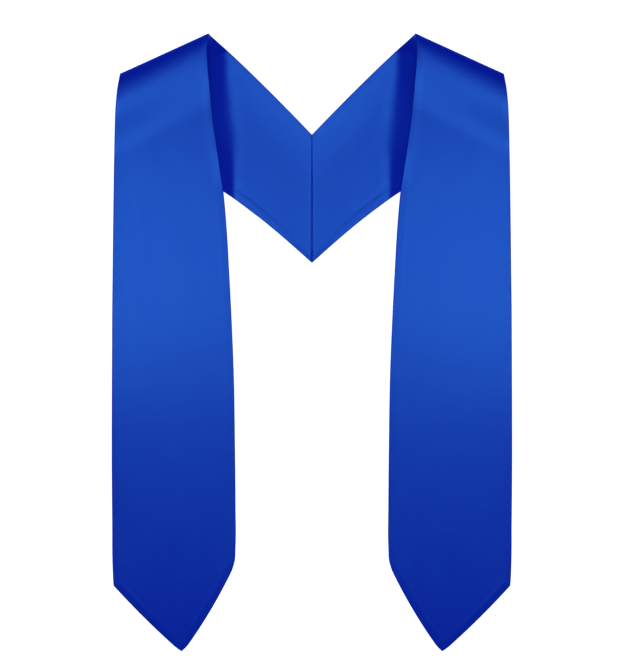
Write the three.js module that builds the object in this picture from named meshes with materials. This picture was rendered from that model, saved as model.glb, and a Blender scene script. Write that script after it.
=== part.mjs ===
// A satin graduation stole, laid out face up and folded over at both shoulders.
// Millimetres. X runs across the stole, Y from its points to its shoulders, Z up from where it lies.
// Each half is a back band, from the centre seam out to the shoulder, and a front panel, which is
// folded back over the band and runs down past it to a point. Each half has a face and a lining.
// The two layers of a half together are called its ply.

import * as THREE from 'three';
import { mergeVertices } from 'three/addons/utils/BufferGeometryUtils.js';

// Outline, as the stole lies
const overallLength = 703.2; // inner end of a shoulder fold down to the tip of its panel
const neckWidth = 234.8; // between the inner ends of the two shoulder folds
const shoulderWidth = 437.6; // between the outer ends of the two shoulder folds
const shoulderDrop = 46.3; // outer end of a shoulder fold below its inner end
const neckDepth = 115.7; // inner end of a fold down to the top of the centre seam
const seamLength = 145.7; // the centre back seam
const neckBow = 1.3; // how far the neck edge of the band swells towards the neck
const outerFlare = 9.4; // how far a panel widens past the outer end of its fold
const innerLean = 29.9; // how far the inner edge of a panel comes in below the fold
const outerCornerRise = 74.8; // outer corner of a panel above its tip
const innerCornerRise = 92.5; // inner corner of a panel above its tip
const tipInset = 70.6; // tip of a panel, inwards of the outer end of the fold
const slantBow = 2.3; // how far the two slants of the point swell outwards

// Cloth, gaps and folds
const clothThickness = 1.0; // the face, and the lining
const layerGap = 0.3; // between face and lining, and between a panel and the band under it
const seamGap = 0.3; // between the two halves at the centre seam
const noseGap = 2.1; // free height inside the fold, close behind its round front
const innerRollGap = 2.7; // free height under the crest of the soft roll, at the fold's inner end
const outerRollGap = 3.9; // the same at the fold's outer end
const innerCrest = 14.0; // how far the crest lies behind the fold, at its inner end
const outerCrest = 26.0; // the same at its outer end
const rollLength = 62.0; // how far the panel takes to settle behind the crest
const setbackLength = 60.0; // how far the fold's own roundness takes to fade out of the outline
const fallStart = 150.0; // how far below the fold the panel starts to come down, clear of the band
const fallLength = 180.0; // how far it then takes to come down to the surface
const archHeight = 4.2; // how far the band stands off the surface between the panels
const archMargin = 6.0; // how far past a panel's inner edge the band starts to rise
const archLength = 26.0; // how far it then takes to rise
const archDroop = 0.4; // share of the rise that the band loses towards its outer edge
const archDroopShare = 0.35; // share of the band's width that this takes

// Mesh steps
const columns = 10; // across a half
const tipColumn = 4; // the column that ends at the tip
const bandRows = 18; // from the centre seam to the fold
const lowerNoseRows = 5; // up the lower half of the fold's round front
const upperNoseRows = 7; // from there to the crest
const settlingRows = 24; // from the crest to where the panel lies flat
const flatRows = 10; // from there to the tip
const settlingShare = 0.62; // share of a panel's length that takes the finer rows

// Outer edge of the band, from the centre seam to the outer end of the fold.
// out is a share of half the shoulder width, up a share of the height between the two ends.
const bandEdge = [
  { out: 0.0, up: 0.0 },
  { out: 0.135, up: 0.122 },
  { out: 0.26, up: 0.228 },
  { out: 0.397, up: 0.333 },
  { out: 0.5, up: 0.405 },
  { out: 0.64, up: 0.507 },
  { out: 0.77, up: 0.626 },
  { out: 0.88, up: 0.766 },
  { out: 0.955, up: 0.9 },
  { out: 1.0, up: 1.0 },
];

// Sections of a panel, from the fold down to its two corners.
// down is a share of each edge's length, lean a share of innerLean, flare a share of outerFlare.
const panelSections = [
  { down: 0.0, lean: 0.0, flare: 0.0 },
  { down: 0.025, lean: -0.07, flare: 0.285 },
  { down: 0.06, lean: -0.045, flare: 0.49 },
  { down: 0.1, lean: 0.025, flare: 0.585 },
  { down: 0.16, lean: 0.14, flare: 0.68 },
  { down: 0.23, lean: 0.345, flare: 0.75 },
  { down: 0.3, lean: 0.555, flare: 0.81 },
  { down: 0.36, lean: 0.655, flare: 0.85 },
  { down: 0.45, lean: 0.757, flare: 0.92 },
  { down: 0.55, lean: 0.862, flare: 0.955 },
  { down: 0.65, lean: 0.94, flare: 0.985 },
  { down: 0.76, lean: 0.977, flare: 1.0 },
  { down: 0.88, lean: 1.0, flare: 0.95 },
  { down: 0.955, lean: 1.0, flare: 0.915 },
  { down: 0.985, lean: 0.95, flare: 0.84 },
  { down: 1.0, lean: 0.856, flare: 0.777 },
];

// Corners of the left half in plan
const top = overallLength / 2;
const foldInner = new THREE.Vector2(-neckWidth / 2, top);
const foldOuter = new THREE.Vector2(-shoulderWidth / 2, top - shoulderDrop);
const seamTop = new THREE.Vector2(-seamGap / 2, top - neckDepth);
const seamBottom = new THREE.Vector2(-seamGap / 2, top - neckDepth - seamLength);
const panelTip = new THREE.Vector2(foldOuter.x + tipInset, top - overallLength);

// Lengths that follow from them
const foldInward = quarterTurn(foldOuter.clone().sub(foldInner).normalize());
const neckReach = seamTop.clone().sub(foldInner).dot(foldInward);
const innerEdgeLength = overallLength - innerCornerRise;
const outerEdgeLength = overallLength - shoulderDrop - outerCornerRise;
const panelReach = -foldInward.y * (innerEdgeLength + outerEdgeLength) / 2;
const settlingReach = settlingShare * panelReach;

// Heights are those of the middle of a ply, over the middle of the ply that lies on the surface.
const plyThickness = 2 * clothThickness + layerGap;
const stackHeight = plyThickness + layerGap;
const noseHeight = (plyThickness + noseGap) / 2;
const noseCurl = 1.25 * noseHeight; // how far behind the nose the lower layer starts to curl up

// The direction a quarter turn anticlockwise from a direction in plan
function quarterTurn(direction) {
  return new THREE.Vector2(-direction.y, direction.x);
}

// A share that goes from 0 to 1 with a gentle start and end, and stays at 0 or 1 outside them
function ease(share) {
  return THREE.MathUtils.smoothstep(share, 0, 1);
}

// A swelling that is 0 at both ends of a length and 1 in its middle
function swell(share) {
  return 4 * share * (1 - share);
}

// The outer edge of the band as a curve, from the outer end of the fold to the centre seam
function makeBandCurve() {
  const points = bandEdge.map((section) => new THREE.Vector2(
    THREE.MathUtils.lerp(seamBottom.x, foldOuter.x, section.out),
    THREE.MathUtils.lerp(seamBottom.y, foldOuter.y, section.up),
  ));
  return new THREE.SplineCurve(points.reverse());
}

const bandCurve = makeBandCurve();

// A point of the band in plan, at a distance behind the fold and a share across from the neck edge
function bandPoint(distance, across) {
  const share = distance / neckReach;
  const swollen = quarterTurn(seamTop.clone().sub(foldInner).normalize()).multiplyScalar(neckBow * swell(share));
  const neck = foldInner.clone().lerp(seamTop, share).add(swollen);
  const edgeLength = bandCurve.getLength();
  const travelled = THREE.MathUtils.lerp(neckReach, edgeLength, share) * share;
  const outer = bandCurve.getPointAt(Math.min(1, travelled / edgeLength));
  return neck.lerp(outer, across);
}

// The tables' sections as a function of the share down a panel, smooth between the rows
const readPanel = new THREE.CubicInterpolant(
  panelSections.map((section) => section.down),
  panelSections.flatMap((section) => [section.lean, section.flare]),
  2,
);

// The inner and outer ends of the line across a panel, at a share down from the fold
function panelEnds(share) {
  const [lean, flare] = readPanel.evaluate(share);
  const inner = new THREE.Vector2(foldInner.x + lean * innerLean, foldInner.y - share * innerEdgeLength);
  const outer = new THREE.Vector2(foldOuter.x - flare * outerFlare, foldOuter.y - share * outerEdgeLength);
  return [inner, outer];
}

// A point of one slant of the panel's end, which swells a little outwards
function slantPoint(start, end, share) {
  const outward = quarterTurn(end.clone().sub(start).normalize());
  return start.clone().lerp(end, share).addScaledVector(outward, slantBow * swell(share));
}

// A point of the panel in plan, at a distance below the fold and a share across from its inner edge
function panelPoint(distance, across) {
  const share = Math.min(1, distance / panelReach);
  const tipShare = tipColumn / columns;
  const [innerCorner, outerCorner] = panelEnds(1);
  const end = across < tipShare
    ? slantPoint(innerCorner, panelTip, across / tipShare)
    : slantPoint(panelTip, outerCorner, (across - tipShare) / (1 - tipShare));
  const pull = Math.max(0, (share - settlingShare) / (1 - settlingShare)) ** 3;
  const pointed = end.sub(innerCorner.lerp(outerCorner, across)).multiplyScalar(pull);
  const [inner, outer] = panelEnds(share);
  return inner.lerp(outer, across).add(pointed);
}

// Where a ply's middle passes around the soft roll of the fold, at a share across.
// x is the distance behind the nose, y the height, from the lower layer up to the crest.
function rollProfile(across) {
  const crest = THREE.MathUtils.lerp(innerCrest, outerCrest, across);
  const height = plyThickness + THREE.MathUtils.lerp(innerRollGap, outerRollGap, across);
  const lower = new THREE.CubicBezierCurve(
    new THREE.Vector2(noseCurl, 0),
    new THREE.Vector2(noseCurl * 0.45, 0),
    new THREE.Vector2(0, noseHeight * 0.4),
    new THREE.Vector2(0, noseHeight),
  );
  const upper = new THREE.CubicBezierCurve(
    new THREE.Vector2(0, noseHeight),
    new THREE.Vector2(0, THREE.MathUtils.lerp(noseHeight, height, 0.8)),
    new THREE.Vector2(crest * 0.32, height),
    new THREE.Vector2(crest, height),
  );
  return { lower, upper, crest, height };
}

// How far the band stands off the surface: nothing under a panel, the arch between the panels
function bandRise(point, across) {
  const share = (foldInner.y - point.y) / innerEdgeLength;
  const clear = point.x - panelEnds(share)[0].x;
  const droop = 1 - archDroop * (1 - ease((1 - across) / archDroopShare));
  return archHeight * ease((clear - archMargin) / archLength) * droop;
}

// Height of a panel behind the crest: settled on the band, then down past it to the surface
function settledHeight(distance, behindCrest, crestHeight) {
  const rest = stackHeight * (1 - ease((distance - fallStart) / fallLength));
  return THREE.MathUtils.lerp(crestHeight, rest, ease(behindCrest / rollLength));
}

// A place of the ply in the left half: a point on its middle, and the direction from lining to face.
// heading is the ply's own direction there, x back from the fold and y up. The round front of the
// fold takes half a ply in plan, so the ply's middle is set back by that much near it.
function plyPlace(plan, distance, height, heading) {
  const setback = plyThickness / 2 * (1 - ease(distance / setbackLength));
  const { x: back, y: up } = quarterTurn(heading);
  return {
    point: new THREE.Vector3(
      plan.x + foldInward.x * setback,
      plan.y + foldInward.y * setback,
      plyThickness / 2 + height,
    ),
    toFace: new THREE.Vector3(foldInward.x * back, foldInward.y * back, up),
  };
}

// The rows of the ply from the centre seam to the tip, each a function of the share across
function plyRows() {
  const towardsFold = new THREE.Vector2(-1, 0);
  const awayFromFold = new THREE.Vector2(1, 0);
  const rows = [];
  for (let row = 0; row < bandRows; row += 1) {
    const distance = THREE.MathUtils.lerp(neckReach, noseCurl, row / bandRows);
    rows.push((across) => {
      const plan = bandPoint(distance, across);
      return plyPlace(plan, distance, bandRise(plan, across), towardsFold);
    });
  }
  for (let row = 0; row < lowerNoseRows; row += 1) {
    rows.push((across) => {
      const { lower } = rollProfile(across);
      const { x: distance, y: height } = lower.getPoint(row / lowerNoseRows);
      const heading = lower.getTangent(row / lowerNoseRows);
      return plyPlace(bandPoint(distance, across), distance, height, heading);
    });
  }
  for (let row = 0; row < upperNoseRows; row += 1) {
    rows.push((across) => {
      const { upper } = rollProfile(across);
      const { x: distance, y: height } = upper.getPoint(row / upperNoseRows);
      const heading = upper.getTangent(row / upperNoseRows);
      return plyPlace(panelPoint(distance, across), distance, height, heading);
    });
  }
  for (let row = 0; row < settlingRows; row += 1) {
    rows.push((across) => {
      const { crest, height } = rollProfile(across);
      const distance = THREE.MathUtils.lerp(crest, settlingReach, row / settlingRows);
      const settled = settledHeight(distance, distance - crest, height);
      return plyPlace(panelPoint(distance, across), distance, settled, awayFromFold);
    });
  }
  for (let row = 0; row <= flatRows; row += 1) {
    const distance = THREE.MathUtils.lerp(settlingReach, panelReach, row / flatRows);
    rows.push((across) => plyPlace(panelPoint(distance, across), distance, 0, awayFromFold));
  }
  return rows;
}

// The ply as a grid of places, a line of them for each row
function plyGrid() {
  return plyRows().map((row) => (
    Array.from({ length: columns + 1 }, (unused, column) => row(column / columns))
  ));
}

// Turns the diagonals of a box's lower side so that they lie under those of its upper side. Layers
// on each other then keep an even gap where the ply is twisted.
function matchDiagonals(box) {
  const { start, count } = box.groups[5];
  for (let first = start; first < start + count; first += 6) {
    const [a, b, d, , c] = box.index.array.slice(first, first + 6);
    box.index.array.set([a, b, c, a, c, d], first);
  }
}

// One layer of a half as a closed solid: a box with a vertex for every place of the grid, moved to
// lie between two distances from the middle of the ply. The right half is mirrored.
function layerGeometry(grid, mirrored, liningSide, faceSide) {
  const lastRow = grid.length - 1;
  const box = new THREE.BoxGeometry(columns, lastRow, 1, columns, lastRow, 1);
  matchDiagonals(box);
  const position = box.getAttribute('position');
  for (let index = 0; index < position.count; index += 1) {
    const row = Math.round(position.getY(index) + lastRow / 2);
    const column = Math.round(position.getX(index) + columns / 2);
    const { point, toFace } = grid[row][column];
    const moved = point.clone().addScaledVector(toFace, position.getZ(index) > 0 ? faceSide : liningSide);
    position.setXYZ(index, mirrored ? -moved.x : moved.x, moved.y, moved.z);
  }
  if (mirrored) {
    box.index.array.reverse();
  }
  box.clearGroups();
  box.deleteAttribute('normal');
  box.deleteAttribute('uv');
  const geometry = mergeVertices(box);
  geometry.computeVertexNormals();
  return geometry;
}

// Royal blue satin
function satin() {
  return new THREE.MeshStandardMaterial({ color: 0x1a4bb8, roughness: 0.45, metalness: 0 });
}

// A named layer of one half
function layer(name, grid, mirrored, liningSide, faceSide) {
  const mesh = new THREE.Mesh(layerGeometry(grid, mirrored, liningSide, faceSide), satin());
  mesh.name = name;
  return mesh;
}

const stole = new THREE.Group();
const grid = plyGrid();
for (const [side, mirrored] of [['left', false], ['right', true]]) {
  stole.add(layer(`${side}_face`, grid, mirrored, layerGap / 2, plyThickness / 2));
  stole.add(layer(`${side}_lining`, grid, mirrored, -plyThickness / 2, -layerGap / 2));
}

export default stole;
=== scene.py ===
"""A plain satin graduation stole, laid out face up and folded over at both shoulders.

Metres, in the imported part's frame: X across the stole, Y from its points to its shoulders, Z up
from the surface that it lies on. Each half is one length of cloth, a face over a lining: the back
band from the centre seam out to the shoulder, then the front panel, folded back over the band and
run down past it to a point. The shapes are worked out for the left half and mirrored.
"""

import bpy
import numpy as np
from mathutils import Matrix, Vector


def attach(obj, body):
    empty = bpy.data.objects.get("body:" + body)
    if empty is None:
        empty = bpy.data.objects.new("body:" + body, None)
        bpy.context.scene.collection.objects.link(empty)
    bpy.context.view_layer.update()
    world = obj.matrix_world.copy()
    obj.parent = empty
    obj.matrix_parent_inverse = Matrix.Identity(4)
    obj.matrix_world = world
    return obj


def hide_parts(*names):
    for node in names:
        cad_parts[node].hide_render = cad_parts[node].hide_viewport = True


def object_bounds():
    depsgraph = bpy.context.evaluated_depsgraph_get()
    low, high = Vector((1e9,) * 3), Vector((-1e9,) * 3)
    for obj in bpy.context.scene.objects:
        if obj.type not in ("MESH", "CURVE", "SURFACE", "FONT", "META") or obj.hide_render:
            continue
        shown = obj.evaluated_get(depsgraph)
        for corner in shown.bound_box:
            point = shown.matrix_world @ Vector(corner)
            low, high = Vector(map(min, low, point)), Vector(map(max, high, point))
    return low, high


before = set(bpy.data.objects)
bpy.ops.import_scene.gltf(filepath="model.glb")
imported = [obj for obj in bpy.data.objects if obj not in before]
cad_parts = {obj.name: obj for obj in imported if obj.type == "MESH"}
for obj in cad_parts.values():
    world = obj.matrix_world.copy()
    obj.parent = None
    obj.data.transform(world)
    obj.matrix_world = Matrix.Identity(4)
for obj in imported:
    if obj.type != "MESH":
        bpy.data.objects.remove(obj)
cad_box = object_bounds()

# Outline, as the stole lies
TOP = float(cad_box[1][1])
OVERALL_LENGTH = TOP - float(cad_box[0][1])
NECK_WIDTH = 0.2348
SHOULDER_WIDTH = 0.4376
SHOULDER_DROP = 0.0463
NECK_DEPTH = 0.1157
SEAM_LENGTH = 0.1457
NECK_BOW = 0.0013
OUTER_FLARE = 0.009
INNER_LEAN = 0.0306
OUTER_CORNER_RISE = 0.0748
INNER_CORNER_RISE = 0.0923
TIP_INSET = 0.0706
INNER_SLANT_BOW = 0.0026
OUTER_SLANT_BOW = 0.0016
TIP_BLUNTING = np.array([0.0006, -0.002])
TIP_BLUNT_SPAN = 0.13

# Cloth, gaps and folds
CLOTH_THICKNESS = 0.001
LEAST_THICKNESS = 0.00005
LAYER_GAP = 0.0003
SEAM_GAP = 0.00001
NOSE_GAP = 0.0021
INNER_ROLL_GAP = 0.0027
OUTER_ROLL_GAP = 0.0039
INNER_CREST = 0.014
OUTER_CREST = 0.026
ROLL_LENGTH = 0.062
SETBACK_LENGTH = 0.06
FALL_START = 0.24
FALL_LENGTH = 0.26
TIP_SHARE = 0.4
SETTLING_SHARE = 0.62

# The fold's round front. The lower layer starts to curl up behind it at a share of the nose's
# height, and the two curves round it have handles at shares of their way back and of their way up.
NOSE_CURL_SHARE = 1.25
LOWER_BACK_HANDLE = 0.45
LOWER_UP_HANDLE = 0.4
UPPER_UP_HANDLE = 0.8
UPPER_BACK_HANDLE = 0.32

# Outer edge of the band, from the centre seam to the outer end of the fold: shares of half the
# shoulder width (out) and of the height between the two ends (up)
BAND_EDGE = np.array([
    (0.0, 0.0), (0.135, 0.122), (0.26, 0.228), (0.397, 0.333), (0.5, 0.405),
    (0.64, 0.507), (0.77, 0.626), (0.88, 0.766), (0.955, 0.9), (1.0, 1.0),
])

# Sections of a panel: share of each edge's length down from the fold (down), share of INNER_LEAN
# (lean) and share of OUTER_FLARE (flare)
PANEL_SECTIONS = np.array([
    (0.0, 0.0, 0.0), (0.025, -0.065, 0.285), (0.06, -0.03, 0.49), (0.1, 0.045, 0.585),
    (0.16, 0.16, 0.68), (0.23, 0.36, 0.75), (0.3, 0.56, 0.81), (0.36, 0.665, 0.85),
    (0.45, 0.77, 0.92), (0.55, 0.87, 0.955), (0.65, 0.943, 0.985), (0.76, 0.977, 1.0),
    (0.88, 1.0, 0.95), (0.955, 1.0, 0.915), (0.985, 0.96, 0.84), (1.0, 0.87, 0.777),
])

# Grid of the cloth
MARGIN_STEPS = np.array([
    0.0, 0.1, 0.25, 0.45, 0.7, 1.0, 1.3, 2.0, 3.0, 4.5, 6.0, 7.5, 8.5, 9.5, 10.5, 12.0, 14.5,
]) / 1000
NOMINAL_WIDTH = 0.132
MIDDLE_COLUMNS = 40
BAND_ROWS = 56
LOWER_NOSE_ROWS = 10
UPPER_NOSE_ROWS = 26
SETTLING_ROWS = 96
FLAT_ROWS = 110
END_ROWS = 60
EDGE_MARKS = 400
FAR_OFF = 1.0
LEAST_LENGTH = 1e-12

# Relief of the cloth: its turned edges, the pressed seam allowance inside them, the roundness
# towards them and the valley of the centre seam
EDGE_ROUNDING = 0.0009
ALLOWANCE_WIDTH = 0.0085
ALLOWANCE_FADE = 0.0022
ALLOWANCE_RISE = 0.00008
PILLOW_WIDTH = 0.014
PILLOW_DROP = 0.00025
BAND_PILLOW_SHARE = 0.1
SEAM_VALLEY_WIDTH = 0.003
SEAM_VALLEY_DEPTH = 0.00035
SEAM_VALLEY_POWER = 1.4
SEAM_TIGHTNESS = 4

# The band's arch between the panels. It rises steeply out from under a panel's inner edge and
# rounds over at a line. Rows: distance down from the neck, the line's X and the rounding's length.
ARCH_HEIGHT = 0.0048
CREASE_LINE = np.array([
    (0.0, -0.1085, 0.028), (0.028, -0.105, 0.029), (0.055, -0.1015, 0.032), (0.083, -0.0962, 0.036),
    (0.11, -0.092, 0.036), (0.147, -0.0938, 0.029), (0.178, -0.0958, 0.024), (0.26, -0.0958, 0.024),
])
CREASE_START = -0.005
CREASE_START_LENGTH = 0.005
CREASE_KNEE_SHARE = 0.39
ARCH_FADE = 0.025
ARCH_NECK_CURL = 0.26
ARCH_NECK_SHARE = 0.45

# The panel's inner margin over the band, where it rides up the band's crease
INNER_RAISE = 0.0009
INNER_RAISE_WIDTH = 0.014
INNER_RAISE_SPAN = (0.012, 0.165)

# Satin: colours, gloss, and the grains a metre of its patterns, across the cloth and along it
SATIN_DEEP = (0.0036, 0.0123, 0.5, 1.0)
SATIN_CLEAR = (0.0038, 0.0131, 0.53, 1.0)
SATIN_GLINT = (0.05, 0.31, 1.0, 1.0)
SATIN_BLOOM = (0.02, 0.4, 1.0, 1.0)
SATIN_BLOOM_WEIGHT = 0.6
SATIN_BLOOM_ROUGHNESS = 0.4
SATIN_ROUGHNESS = (0.185, 0.225)
SATIN_IOR = 1.5
SATIN_SPECULAR = 0.5
STREAK_GRAIN = (90, 7)
STREAK_DETAIL = 3.0
HAND_GRAIN = (42, 16)
HAND_DETAIL = 2.0
HAND_DEPTH = 0.00015
THREAD_GRAIN = (1800, 110)
THREAD_DETAIL = 1.0
THREAD_DEPTH = 0.00003

# Floor
FLOOR_SIZE = 12
FLOOR_LEVEL = -0.0006
FLOOR_COLOUR = (0.97, 0.97, 0.97, 1.0)
FLOOR_ROUGHNESS = 0.9
FLOOR_SPECULAR = 0.1
FLOOR_GLOW = 0.8

# Light: the two softboxes, the surround that the satin reflects and the backdrop
SOFTBOX_HEIGHT = 4.5
SOFTBOX_ASIDE = 0.635
SOFTBOX_UP = 0.155
SOFTBOX_SIZE = (1.06, 0.87)
SOFTBOX_POWER = 30
SURROUND_COLOUR = (0.5, 0.82, 1.0, 1.0)
SURROUND_STRENGTH = (0.0, 0.6)
SURROUND_SPAN = (0.38, 0.66)
SURROUND_GRAIN = 3.2
BACKDROP_COLOUR = (1.0, 1.0, 1.0, 1.0)

# Camera, with its sensor in millimetres
CAMERA_HEIGHT = 3.6
SENSOR_WIDTH = 36
FRAME_WIDTH = 0.7056
FRAME_CENTRE = (-0.0022, 0.0072)


def lerp(start, end, share):
    """The value a share of the way from start to end."""
    return start + (end - start) * share


def ease(share):
    """3s^2 - 2s^3, which goes from 0 to 1 with a gentle start and end and stays there outside."""
    share = np.clip(share, 0, 1)
    return share * share * (3 - 2 * share)


def swell(share):
    """4s(1 - s), which is 0 at both ends of a length and 1 in its middle."""
    return 4 * share * (1 - share)


def quarter_turn(direction):
    """The direction a quarter turn anticlockwise from a direction in plan."""
    return np.stack([-direction[..., 1], direction[..., 0]], axis=-1)


def unit(vector):
    """The vector at length 1."""
    return vector / np.maximum(np.linalg.norm(vector, axis=-1, keepdims=True), LEAST_LENGTH)


def read_table(places, values, at):
    """Reads a table between its rows, by the cubic that has the table's own slopes at both rows."""
    slopes = np.gradient(values, places, axis=0)
    row = np.clip(np.searchsorted(places, at, side="right") - 1, 0, len(places) - 2)
    step = (places[row + 1] - places[row])[..., None]
    share = (at[..., None] - places[row][..., None]) / step
    rest = 1 - share
    return (
        values[row] * (1 + 2 * share) * rest**2
        + values[row + 1] * share**2 * (3 - 2 * share)
        + slopes[row] * step * share * rest**2
        - slopes[row + 1] * step * share**2 * rest
    )


# Corners of the left half in plan
FOLD_INNER = np.array([-NECK_WIDTH / 2, TOP])
FOLD_OUTER = np.array([-SHOULDER_WIDTH / 2, TOP - SHOULDER_DROP])
SEAM_TOP = np.array([-SEAM_GAP / 2, TOP - NECK_DEPTH])
SEAM_BOTTOM = np.array([-SEAM_GAP / 2, TOP - NECK_DEPTH - SEAM_LENGTH])
PANEL_TIP = np.array([FOLD_OUTER[0] + TIP_INSET, TOP - OVERALL_LENGTH])

# Lengths that follow from them
FOLD_INWARD = quarter_turn(unit(FOLD_OUTER - FOLD_INNER))
NECK_REACH = float((SEAM_TOP - FOLD_INNER) @ FOLD_INWARD)
INNER_EDGE_LENGTH = OVERALL_LENGTH - INNER_CORNER_RISE
OUTER_EDGE_LENGTH = OVERALL_LENGTH - SHOULDER_DROP - OUTER_CORNER_RISE
PANEL_REACH = float(-FOLD_INWARD[1]) * (INNER_EDGE_LENGTH + OUTER_EDGE_LENGTH) / 2
SETTLING_REACH = SETTLING_SHARE * PANEL_REACH
PLY_THICKNESS = 2 * CLOTH_THICKNESS + LAYER_GAP
STACK_HEIGHT = PLY_THICKNESS + LAYER_GAP
NOSE_HEIGHT = (PLY_THICKNESS + NOSE_GAP) / 2
NOSE_CURL = NOSE_CURL_SHARE * NOSE_HEIGHT


def band_edge_line():
    """Places along the outer edge of the band, from the fold to the seam, and how far along."""
    places = SEAM_BOTTOM + BAND_EDGE[::-1] * (FOLD_OUTER - SEAM_BOTTOM)
    line = read_table(np.arange(len(places)), places, np.linspace(0, len(places) - 1, EDGE_MARKS))
    steps = np.linalg.norm(np.diff(line, axis=0), axis=1)
    return line, np.concatenate([[0], np.cumsum(steps)])


EDGE_LINE, EDGE_TRAVEL = band_edge_line()


def band_plan(distance, across):
    """A point of the band: on the line from the neck edge to the outer edge, at a share across.

    The neck edge is straight with a small swell. The outer edge is followed by its own length.
    """
    share = distance / NECK_REACH
    neck_side = quarter_turn(unit(SEAM_TOP - FOLD_INNER))
    neck_swell = neck_side * (NECK_BOW * swell(share))[..., None]
    neck = lerp(FOLD_INNER, SEAM_TOP, share[..., None]) + neck_swell
    travel = lerp(NECK_REACH, EDGE_TRAVEL[-1], share) * share
    outer_x = np.interp(travel, EDGE_TRAVEL, EDGE_LINE[:, 0])
    outer_y = np.interp(travel, EDGE_TRAVEL, EDGE_LINE[:, 1])
    outer = np.stack([outer_x, outer_y], axis=-1)
    return lerp(neck, outer, across[..., None])


def panel_ends(share):
    """The inner and outer ends of the line across a panel, at a share down from the fold."""
    lean, flare = np.moveaxis(read_table(PANEL_SECTIONS[:, 0], PANEL_SECTIONS[:, 1:], share), -1, 0)
    inner_x = FOLD_INNER[0] + lean * INNER_LEAN
    inner_y = FOLD_INNER[1] - share * INNER_EDGE_LENGTH
    outer_x = FOLD_OUTER[0] - flare * OUTER_FLARE
    outer_y = FOLD_OUTER[1] - share * OUTER_EDGE_LENGTH
    return np.stack([inner_x, inner_y], axis=-1), np.stack([outer_x, outer_y], axis=-1)


def slant(start, end, share, from_tip, bow):
    """A point of one slant of the panel's end, which swells a little outwards.

    The slants run to a place TIP_BLUNTING beyond the tip, and bend in to the tip just before it, by
    the square of the nearness to it.
    """
    outward = quarter_turn(unit(end - start))
    nearness = np.clip(1 - from_tip / TIP_BLUNT_SPAN, 0, 1)
    swollen = lerp(start, end, share[..., None]) + outward * (bow * swell(share))[..., None]
    return swollen - TIP_BLUNTING * nearness[..., None] ** 2


def panel_plan(distance, across):
    """A point of the panel: on the line between its two edges, pulled towards the pointed end.

    The pull is the cube of the share of the way through the lower part, so it is 1 at the end.
    """
    share = np.minimum(1, distance / PANEL_REACH)
    inner_corner, outer_corner = panel_ends(np.ones(1))
    inner_share = np.minimum(1, across / TIP_SHARE)
    outer_share = np.maximum(0, (across - TIP_SHARE) / (1 - TIP_SHARE))
    beyond = PANEL_TIP + TIP_BLUNTING
    inner_slant = slant(inner_corner, beyond, inner_share, 1 - inner_share, INNER_SLANT_BOW)
    outer_slant = slant(beyond, outer_corner, outer_share, outer_share, OUTER_SLANT_BOW)
    end = np.where((across < TIP_SHARE)[..., None], inner_slant, outer_slant)
    pull = np.maximum(0, (share - SETTLING_SHARE) / (1 - SETTLING_SHARE)) ** 3
    pointed = (end - lerp(inner_corner, outer_corner, across[..., None])) * pull[..., None]
    inner, outer = panel_ends(share)
    return lerp(inner, outer, across[..., None]) + pointed


def bezier(points, share):
    """The cubic curve with four control points, and its direction, at a share along it."""
    a, b, c, d = (point[:, None, :] for point in points)
    t = share[None, :, None]
    rest = 1 - t
    place = a * rest**3 + 3 * b * rest**2 * t + 3 * c * rest * t**2 + d * t**3
    slope = (b - a) * rest**2 + 2 * (c - b) * rest * t + (d - c) * t**2
    return place, unit(slope)


def across_points(*pairs):
    """Control points for every share across, each given as its x and y."""
    return [np.stack(np.broadcast_arrays(x, y), axis=-1) for x, y in pairs]


def eased_run(share):
    """How far a slope has climbed while it eases from 0 to 1 over a share, then stays at 1."""
    inside = np.clip(share, 0, 1)
    return inside**3 - inside**4 / 2 + np.maximum(share - 1, 0)


def arch_rise(plan, distance, across):
    """How far the band stands off the surface, at a distance behind the fold.

    Its slope eases in under the panel's inner edge over CREASE_START_LENGTH, stays even up to a
    knee, and eases out over a length read from CREASE_LINE. The knee lies CREASE_KNEE_SHARE of that
    length before the crease line. The rise is divided by its own full height at each place, so that
    the top of the arch is level. The arch curls up, by a square, over ARCH_NECK_SHARE of its width
    towards the neck edge, and fades at the fold.
    """
    inner, _ = panel_ends((TOP - plan[..., 1]) / INNER_EDGE_LENGTH)
    crease = read_table(CREASE_LINE[:, 0], CREASE_LINE[:, 1:], TOP - plan[..., 1])
    line = crease[..., 0]
    length = crease[..., 1]
    start = inner[..., 0] + CREASE_START
    knee = line - CREASE_KNEE_SHARE * length
    clear = plan[..., 0] - start
    climbed = CREASE_START_LENGTH * eased_run(clear / CREASE_START_LENGTH)
    rounded = length * eased_run((plan[..., 0] - knee) / length)
    full = np.maximum(knee - start + (length - CREASE_START_LENGTH) / 2, CREASE_START_LENGTH)
    curl = ARCH_NECK_CURL * np.clip(1 - across / ARCH_NECK_SHARE, 0, 1) ** 2
    fade = ease((distance - NOSE_CURL) / ARCH_FADE)
    return ARCH_HEIGHT * (climbed - rounded) / full * (1 + curl) * fade


def plateau(place, span):
    """1 over the middle third of a span and 0 outside the span, eased over its outer thirds."""
    share = (place - span[0]) / (span[1] - span[0])
    return ease(share * 3) * ease((1 - share) * 3)


def margin_rise(distance, across, width):
    """How far the panel's inner margin is raised, as the square of the nearness to its edge.

    It is raised over INNER_RAISE_SPAN alone, measured behind the fold.
    """
    nearness = np.clip(1 - across * width / INNER_RAISE_WIDTH, 0, 1)
    return INNER_RAISE * nearness**2 * plateau(distance, INNER_RAISE_SPAN)


def columns():
    """Shares across a half: close together at both edges, even between, with one at the tip."""
    margin = MARGIN_STEPS / NOMINAL_WIDTH
    middle = np.linspace(margin[-1], 1 - margin[-1], MIDDLE_COLUMNS + 2)[1:-1]
    middle[np.argmin(abs(middle - TIP_SHARE))] = TIP_SHARE
    return np.concatenate([margin, middle, 1 - margin[::-1]])


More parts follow.
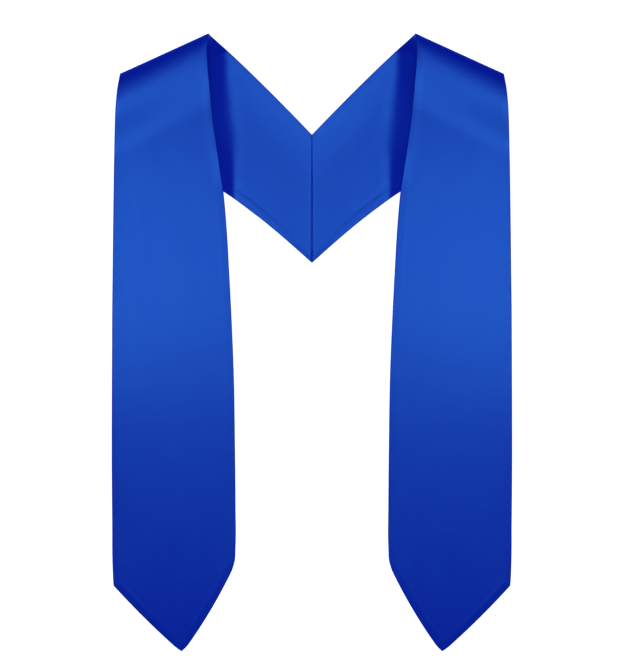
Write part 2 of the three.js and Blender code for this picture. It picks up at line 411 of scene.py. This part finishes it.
def nose_curves(crest, height):
    """The two curves of the ply round the fold's front, for every share across.

    They are cubic curves in distance behind the fold and height. The lower one runs in along the
    band and turns upright at the nose, and the upper one turns back from there to the crest.
    """
    one = np.ones_like(crest)
    lower = bezier(across_points(
        (NOSE_CURL * one, 0),
        (NOSE_CURL * LOWER_BACK_HANDLE * one, 0),
        (0, NOSE_HEIGHT * LOWER_UP_HANDLE * one),
        (0, NOSE_HEIGHT * one),
    ), np.arange(LOWER_NOSE_ROWS) / LOWER_NOSE_ROWS)
    upper = bezier(across_points(
        (0, NOSE_HEIGHT * one),
        (0, lerp(NOSE_HEIGHT, height, UPPER_UP_HANDLE)),
        (crest * UPPER_BACK_HANDLE, height),
        (crest, height),
    ), np.arange(UPPER_NOSE_ROWS) / UPPER_NOSE_ROWS)
    return lower, upper


def ply_grid(across):
    """The middle of a half's ply: its points, and at each the direction from lining to face.

    The rows go from the centre seam over the band, round the fold and down the panel to the tip.
    Every row is a distance behind the fold, a height and a heading of the cloth (back, up). Behind
    the crest the panel settles onto the band over ROLL_LENGTH, and below the band it falls to the
    surface over FALL_LENGTH, both eased. Near the fold the ply's middle is set back by half its
    thickness, so that its outer side lies on the outline.
    """
    one = np.ones_like(across)
    crest = lerp(INNER_CREST, OUTER_CREST, across)
    height = PLY_THICKNESS + lerp(INNER_ROLL_GAP, OUTER_ROLL_GAP, across)
    band_even = np.linspace(NECK_REACH - MARGIN_STEPS[-1], NOSE_CURL, BAND_ROWS + 1)[1:-1]
    band_rows = np.concatenate([NECK_REACH - MARGIN_STEPS, band_even])
    (lower, lower_heading), (upper, upper_heading) = nose_curves(crest, height)
    settling = lerp(crest, SETTLING_REACH, (np.arange(SETTLING_ROWS) / SETTLING_ROWS)[:, None])
    flat_even = np.linspace(SETTLING_REACH, PANEL_REACH - MARGIN_STEPS[-1], FLAT_ROWS + 1)[:-1]
    flat_rows = np.concatenate([flat_even, PANEL_REACH - MARGIN_STEPS[::-1]])

    band_distance = np.concatenate([band_rows[:, None] * one, lower[..., 0].T])
    panel_distance = np.concatenate([upper[..., 0].T, settling, flat_rows[:, None] * one])
    band_across = np.broadcast_to(across, band_distance.shape)
    panel_across = np.broadcast_to(across, panel_distance.shape)
    band = band_plan(band_distance, band_across)
    panel = panel_plan(panel_distance, panel_across)

    band_height = np.concatenate([np.zeros((len(band_rows), len(across))), lower[..., 1].T])
    band_height[: len(band_rows)] += arch_rise(
        band[: len(band_rows)], band_distance[: len(band_rows)], band_across[: len(band_rows)],
    )
    fall = ease((panel_distance - FALL_START) / FALL_LENGTH)
    settled = lerp(height, STACK_HEIGHT * (1 - fall), ease((panel_distance - crest) / ROLL_LENGTH))
    settled += margin_rise(panel_distance, panel_across, NOMINAL_WIDTH)
    rows = len(upper_heading[0])
    settled[:rows] = upper[..., 1].T

    level_in = np.broadcast_to((-1.0, 0.0), (len(band_rows), len(across), 2))
    level_out = np.broadcast_to((1.0, 0.0), (len(panel_distance) - rows, len(across), 2))
    heading = np.concatenate([
        level_in, lower_heading.transpose(1, 0, 2), upper_heading.transpose(1, 0, 2), level_out,
    ])
    distance = np.concatenate([band_distance, panel_distance])
    plan = np.concatenate([band, panel])
    level = np.concatenate([band_height, settled])
    setback = PLY_THICKNESS / 2 * (1 - ease(distance / SETBACK_LENGTH))
    plan = plan + FOLD_INWARD * setback[..., None]
    turned = quarter_turn(heading)
    points = np.concatenate([plan, (PLY_THICKNESS / 2 + level)[..., None]], axis=-1)
    to_face = np.concatenate([FOLD_INWARD * turned[..., :1], turned[..., 1:]], axis=-1)
    return points, to_face, len(band_distance)


def edge_distances(points, across, band_count):
    """How far each place of the grid is from the long edges, the seam and the pointed end.

    The end's distance is that to the nearest stretch of the last row, and is worked out for
    END_ROWS rows. Places that have no seam or end near them get FAR_OFF.
    """
    width = np.linalg.norm(points[:, -1, :2] - points[:, 0, :2], axis=-1)[:, None]
    sides = np.minimum(across, 1 - across) * width
    seam = np.full(points.shape[:2], FAR_OFF)
    seam[:band_count] = abs(points[:band_count, :, 0]) - SEAM_GAP / 2
    end = np.full(points.shape[:2], FAR_OFF)
    last = points[-1, :, :2]
    near = points[-END_ROWS:, :, :2]
    start = last[:-1]
    step = np.diff(last, axis=0)
    reach = ((near[..., None, :] - start) * step).sum(-1) / (step**2).sum(-1)
    foot = start + step * np.clip(reach, 0, 1)[..., None]
    end[-END_ROWS:] = np.sqrt(((near[..., None, :] - foot) ** 2).sum(-1)).min(-1)
    return sides, seam, end


def face_relief(sides, seam, end, band_count):
    """Height of the face's outer side over its inner side.

    A turned edge is a quarter round, SEAM_TIGHTNESS times as tight at the centre seam. The folded-in
    seam allowance shows as a low step inside it. The cloth rounds down towards its edges by a
    square, over PILLOW_WIDTH and less so on the band. Beside the centre seam it also goes down into
    a valley, by the power SEAM_VALLEY_POWER of the nearness to the seam.
    """
    edge = np.minimum(np.minimum(sides, end), seam * SEAM_TIGHTNESS)
    nearness = 1 - np.clip(edge / EDGE_ROUNDING, 0, 1)
    rounded = CLOTH_THICKNESS * np.sqrt(1 - nearness**2)
    free_edge = np.minimum(sides, end)
    allowance = ALLOWANCE_RISE * (1 - ease((free_edge - ALLOWANCE_WIDTH) / ALLOWANCE_FADE))
    past_nose = (np.arange(len(sides)) - band_count)[:, None] / UPPER_NOSE_ROWS
    fullness = lerp(BAND_PILLOW_SHARE, 1, ease(past_nose))
    pillow = fullness * PILLOW_DROP * (1 - np.minimum(free_edge / PILLOW_WIDTH, 1)) ** 2
    valley = SEAM_VALLEY_DEPTH * np.clip(1 - seam / SEAM_VALLEY_WIDTH, 0, 1) ** SEAM_VALLEY_POWER
    full = rounded * (1 + (allowance - pillow) / CLOTH_THICKNESS)
    return np.maximum(full - valley, LEAST_THICKNESS)


def grid_faces(rows, count, offset, flipped):
    """Quads of a grid of rows by count vertices, numbered from offset."""
    index = np.arange(rows * count).reshape(rows, count) + offset
    corners = [index[:-1, :-1], index[:-1, 1:], index[1:, 1:], index[1:, :-1]]
    quads = np.stack(corners, axis=-1).reshape(-1, 4)
    return quads[:, ::-1] if flipped else quads


def rim_faces(rows, count):
    """Quads that join the rims of the outer grid and the inner grid, which follows it."""
    index = np.arange(rows * count).reshape(rows, count)
    loop = np.concatenate([index[0, :-1], index[:-1, -1], index[-1, :0:-1], index[:0:-1, 0]])
    after = np.roll(loop, -1)
    inner = rows * count
    return np.stack([after, loop, loop + inner, after + inner], axis=-1)


def cloth_sheet(name, outer, inner, uv, mirrored, material):
    """A closed sheet between two grids of points, with its flat lie as the UV map cloth."""
    rows, count = outer.shape[:2]
    vertices = np.concatenate([outer.reshape(-1, 3), inner.reshape(-1, 3)])
    faces = np.concatenate([
        grid_faces(rows, count, 0, False),
        grid_faces(rows, count, rows * count, True),
        rim_faces(rows, count),
    ])
    if mirrored:
        vertices = vertices * (-1, 1, 1)
        faces = faces[:, ::-1]
    mesh = bpy.data.meshes.new(name)
    mesh.vertices.add(len(vertices))
    mesh.vertices.foreach_set("co", vertices.ravel())
    mesh.loops.add(faces.size)
    mesh.loops.foreach_set("vertex_index", faces.ravel())
    mesh.polygons.add(len(faces))
    mesh.polygons.foreach_set("loop_start", np.arange(0, faces.size, 4))
    mesh.polygons.foreach_set("use_smooth", np.ones(len(faces), dtype=bool))
    mesh.update(calc_edges=True)
    flat = np.concatenate([uv.reshape(-1, 2), uv.reshape(-1, 2)])[faces.ravel()]
    mesh.uv_layers.new(name="cloth").data.foreach_set("uv", flat.ravel())
    mesh.validate()
    mesh.materials.append(material)
    sheet = bpy.data.objects.new(name, mesh)
    bpy.context.scene.collection.objects.link(sheet)
    return sheet


def surface_normals(points, like):
    """Directions square to the grid, on the side that like points to."""
    normals = unit(np.cross(np.gradient(points, axis=0), np.gradient(points, axis=1)))
    facing = (normals * like).sum(axis=-1, keepdims=True)
    return np.where(facing < 0, -normals, normals)


def stretched_noise(nodes, links, lie, grain, detail):
    """Noise on the cloth's flat lie, with so many grains a metre across it and along it."""
    stretch = nodes.new("ShaderNodeMapping")
    stretch.inputs["Scale"].default_value = (*grain, 1)
    noise = nodes.new("ShaderNodeTexNoise")
    noise.inputs["Scale"].default_value = 1.0
    noise.inputs["Detail"].default_value = detail
    links.new(lie.outputs["UV"], stretch.inputs["Vector"])
    links.new(stretch.outputs["Vector"], noise.inputs["Vector"])
    return noise.outputs["Fac"]


def bump_node(nodes, links, height, distance, before=None):
    """A bump of a height field, with its full depth in metres, on top of the one before."""
    raised = nodes.new("ShaderNodeBump")
    raised.inputs["Distance"].default_value = distance
    links.new(height, raised.inputs["Height"])
    if before:
        links.new(before, raised.inputs["Normal"])
    return raised.outputs["Normal"]


def satin_material():
    """Royal blue satin: a deep ground under a narrow, clear blue gloss, with a blue bloom aslant.

    The floats of the weave run along the cloth, so its fine threads, its faint streaks and the soft
    unevenness of its hand are all drawn out that way.
    """
    material = bpy.data.materials.new("satin")
    material.use_nodes = True
    nodes = material.node_tree.nodes
    links = material.node_tree.links
    shader = nodes["Principled BSDF"]
    shader.inputs["IOR"].default_value = SATIN_IOR
    shader.inputs["Specular IOR Level"].default_value = SATIN_SPECULAR
    shader.inputs["Specular Tint"].default_value = SATIN_GLINT
    shader.inputs["Sheen Weight"].default_value = SATIN_BLOOM_WEIGHT
    shader.inputs["Sheen Roughness"].default_value = SATIN_BLOOM_ROUGHNESS
    shader.inputs["Sheen Tint"].default_value = SATIN_BLOOM
    lie = nodes.new("ShaderNodeUVMap")
    lie.uv_map = "cloth"
    streaks = stretched_noise(nodes, links, lie, STREAK_GRAIN, STREAK_DETAIL)
    tone = nodes.new("ShaderNodeMix")
    tone.data_type = "RGBA"
    tone.inputs["A"].default_value = SATIN_DEEP
    tone.inputs["B"].default_value = SATIN_CLEAR
    links.new(streaks, tone.inputs["Factor"])
    links.new(tone.outputs["Result"], shader.inputs["Base Color"])
    gloss = nodes.new("ShaderNodeMapRange")
    gloss.inputs["To Min"].default_value = SATIN_ROUGHNESS[0]
    gloss.inputs["To Max"].default_value = SATIN_ROUGHNESS[1]
    links.new(streaks, gloss.inputs["Value"])
    links.new(gloss.outputs["Result"], shader.inputs["Roughness"])
    hand = stretched_noise(nodes, links, lie, HAND_GRAIN, HAND_DETAIL)
    threads = stretched_noise(nodes, links, lie, THREAD_GRAIN, THREAD_DETAIL)
    uneven = bump_node(nodes, links, hand, HAND_DEPTH)
    woven = bump_node(nodes, links, threads, THREAD_DEPTH, uneven)
    links.new(woven, shader.inputs["Normal"])
    return material


def make_stole():
    """The four layers: a face and a lining for each half.

    A layer lies half a LAYER_GAP off the middle of the ply, with its relief on its outer side.
    """
    material = satin_material()
    across = columns()
    points, rough_to_face, band_count = ply_grid(across)
    to_face = surface_normals(points, rough_to_face)
    sides, seam, end = edge_distances(points, across, band_count)
    relief = face_relief(sides, seam, end, band_count)[..., None]
    steps = np.linalg.norm(np.diff(points, axis=0), axis=-1)
    along = np.concatenate([np.zeros((1, len(across))), np.cumsum(steps, axis=0)])
    width = np.linalg.norm(points[:, -1] - points[:, 0], axis=-1)[:, None]
    uv = np.stack([across * width, along], axis=-1)
    half_gap = to_face * LAYER_GAP / 2
    for side, mirrored in (("left", False), ("right", True)):
        layers = {
            "face": (points + half_gap + to_face * relief, points + half_gap),
            "lining": (points - half_gap, points - half_gap - to_face * relief),
        }
        for layer, (upper, under) in layers.items():
            name = f"{side}_{layer}"
            sheet = cloth_sheet(f"{name}_satin", upper, under, uv, mirrored, material)
            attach(sheet, "root")
            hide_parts(name)


def make_floor():
    """A plain pale floor just under the stole."""
    bpy.ops.mesh.primitive_plane_add(size=FLOOR_SIZE, location=(0, 0, FLOOR_LEVEL))
    floor = bpy.context.object
    floor.name = "floor"
    material = bpy.data.materials.new("floor")
    material.use_nodes = True
    shader = material.node_tree.nodes["Principled BSDF"]
    shader.inputs["Base Color"].default_value = FLOOR_COLOUR
    shader.inputs["Roughness"].default_value = FLOOR_ROUGHNESS
    shader.inputs["Specular IOR Level"].default_value = FLOOR_SPECULAR
    shader.inputs["Emission Color"].default_value = FLOOR_COLOUR
    shader.inputs["Emission Strength"].default_value = FLOOR_GLOW
    floor.data.materials.append(material)


def make_softbox(name, place):
    """A soft rectangular lamp that hangs at a place and faces straight down."""
    lamp = bpy.data.lights.new(name, "AREA")
    lamp.shape = "RECTANGLE"
    lamp.size, lamp.size_y = SOFTBOX_SIZE
    lamp.energy = SOFTBOX_POWER
    box = bpy.data.objects.new(name, lamp)
    box.location = place
    bpy.context.scene.collection.objects.link(box)


def make_light():
    """A softbox on each side, over the upper part of the stole, and a dim, cool, patchy surround.

    What the camera sees of the surround directly is a white backdrop.
    """
    make_softbox("left_softbox", (-SOFTBOX_ASIDE, SOFTBOX_UP, SOFTBOX_HEIGHT))
    make_softbox("right_softbox", (SOFTBOX_ASIDE, SOFTBOX_UP, SOFTBOX_HEIGHT))
    world = bpy.data.worlds.new("surround")
    world.use_nodes = True
    nodes = world.node_tree.nodes
    links = world.node_tree.links
    background = nodes["Background"]
    background.inputs["Color"].default_value = SURROUND_COLOUR
    around = nodes.new("ShaderNodeTexCoord")
    patches = nodes.new("ShaderNodeTexNoise")
    patches.inputs["Scale"].default_value = SURROUND_GRAIN
    patches.inputs["Detail"].default_value = 0.0
    links.new(around.outputs["Generated"], patches.inputs["Vector"])
    strength = nodes.new("ShaderNodeMapRange")
    strength.inputs["From Min"].default_value = SURROUND_SPAN[0]
    strength.inputs["From Max"].default_value = SURROUND_SPAN[1]
    strength.inputs["To Min"].default_value = SURROUND_STRENGTH[0]
    strength.inputs["To Max"].default_value = SURROUND_STRENGTH[1]
    links.new(patches.outputs["Fac"], strength.inputs["Value"])
    links.new(strength.outputs["Result"], background.inputs["Strength"])
    backdrop = nodes.new("ShaderNodeBackground")
    backdrop.inputs["Color"].default_value = BACKDROP_COLOUR
    path = nodes.new("ShaderNodeLightPath")
    seen = nodes.new("ShaderNodeMixShader")
    links.new(path.outputs["Is Camera Ray"], seen.inputs["Fac"])
    links.new(background.outputs["Background"], seen.inputs[1])
    links.new(backdrop.outputs["Background"], seen.inputs[2])
    links.new(seen.outputs["Shader"], nodes["World Output"].inputs["Surface"])
    bpy.context.scene.world = world


def make_camera():
    """A camera straight above, framed on the whole stole."""
    camera = bpy.data.cameras.new("camera")
    camera.sensor_fit = "HORIZONTAL"
    camera.sensor_width = SENSOR_WIDTH
    camera.lens = SENSOR_WIDTH * CAMERA_HEIGHT / FRAME_WIDTH
    eye = bpy.data.objects.new("camera", camera)
    eye.location = (*FRAME_CENTRE, CAMERA_HEIGHT)
    bpy.context.scene.collection.objects.link(eye)
    bpy.context.scene.camera = eye


make_stole()
make_floor()
make_light()
make_camera()
bpy.context.scene.view_settings.view_transform = "Standard"
